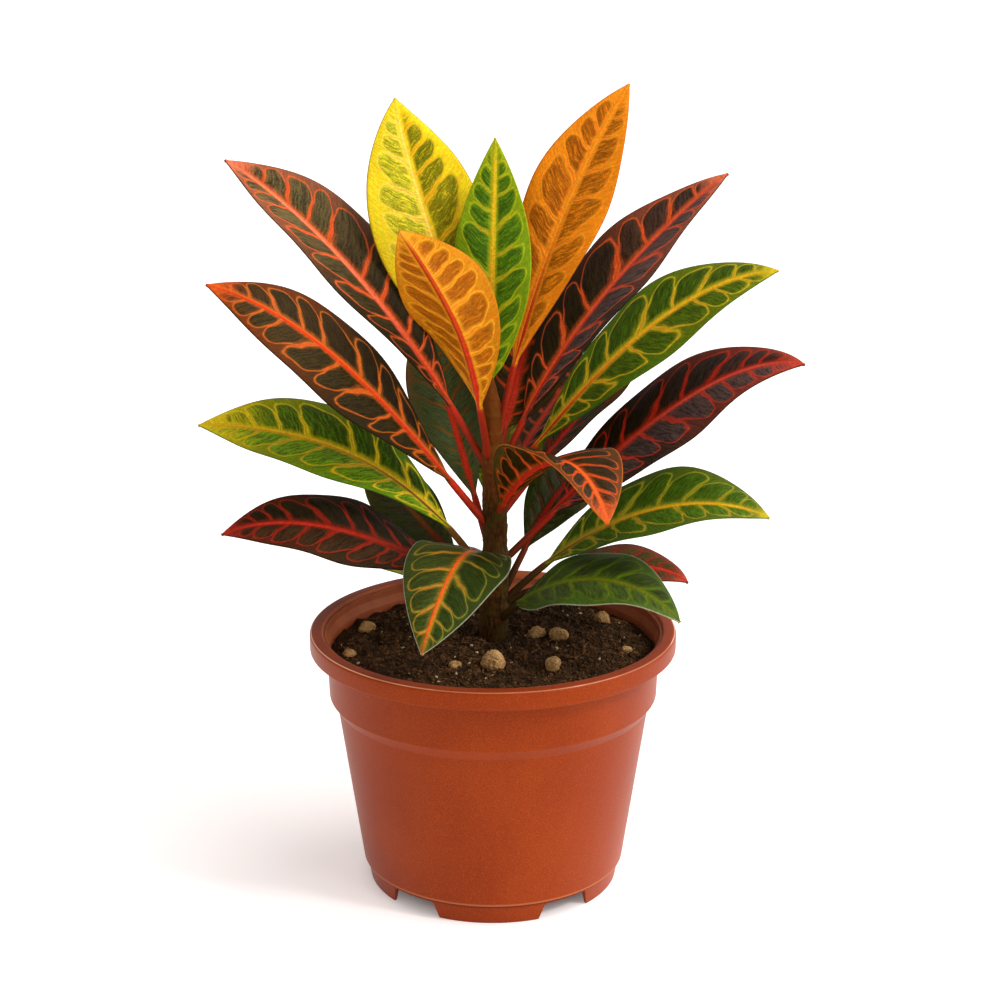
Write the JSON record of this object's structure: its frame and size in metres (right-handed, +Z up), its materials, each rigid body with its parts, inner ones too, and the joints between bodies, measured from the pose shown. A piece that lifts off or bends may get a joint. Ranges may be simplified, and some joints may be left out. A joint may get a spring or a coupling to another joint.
{
  "type": "potted croton",
  "caption": "Young croton with lance-shaped, veined red, green and yellow leaves on one woody stem, in a tapered plastic nursery pot of soil.",
  "frame": {"origin": "on the ground, in the middle under the pot's feet", "axes": "+Z up along the stem, -Y towards the side of the plant that faces the room, +X to its right"},
  "size_m": [0.2394, 0.1607, 0.3244],
  "materials": {
    "pot_plastic": "satin",
    "potting_soil": "loose and damp",
    "bark": "rough",
    "clay": "rough and porous",
    "leaf_yellow": "satin",
    "leaf_green": "satin",
    "leaf_orange": "satin",
    "leaf_amber": "satin",
    "leaf_dark_red": "satin",
    "leaf_lime": "satin",
    "leaf_dark_green": "satin",
    "leaf_brown_red": "satin",
    "leaf_crimson": "satin"
  },
  "bodies": {
    "root": {"pot": "pot_plastic", "soil": "potting_soil", "stem": "bark", "leaf_top_yellow": "leaf_yellow", "leaf_top_green": "leaf_green", "leaf_top_orange": "leaf_orange", "leaf_front_amber": "leaf_amber", "leaf_left_upper_red": "leaf_dark_red", "leaf_left_middle_red": "leaf_dark_red", "leaf_left_lower_lime": "leaf_lime", "leaf_left_lowest_red": "leaf_dark_red", "leaf_front_drooping": "leaf_dark_green", "leaf_left_inner_green": "leaf_dark_green", "leaf_left_low_green": "leaf_dark_green", "leaf_right_upper_red": "leaf_dark_red", "leaf_right_upper_lime": "leaf_lime", "leaf_right_middle_red": "leaf_dark_red", "leaf_right_inner_red": "leaf_crimson", "leaf_front_folded": "leaf_brown_red", "leaf_right_lower_lime": "leaf_lime", "leaf_right_low_red": "leaf_crimson", "leaf_right_lowest_green": "leaf_dark_green", "leaf_right_inner_green": "leaf_dark_green", "leaf_back_upper_ember": "leaf_brown_red", "leaf_back_upper_red": "leaf_dark_red", "leaf_back_middle_green": "leaf_dark_green", "leaf_back_left_lime": "leaf_lime", "leaf_back_right_lime": "leaf_lime", "leaf_back_low_red": "leaf_dark_red", "pebble_1": "clay", "pebble_2": "clay", "pebble_3": "clay", "pebble_4": "clay", "pebble_5": "clay", "pebble_6": "clay", "pebble_7": "clay", "pebble_8": "clay", "pebble_9": "clay"}
  },
  "joints": []
}
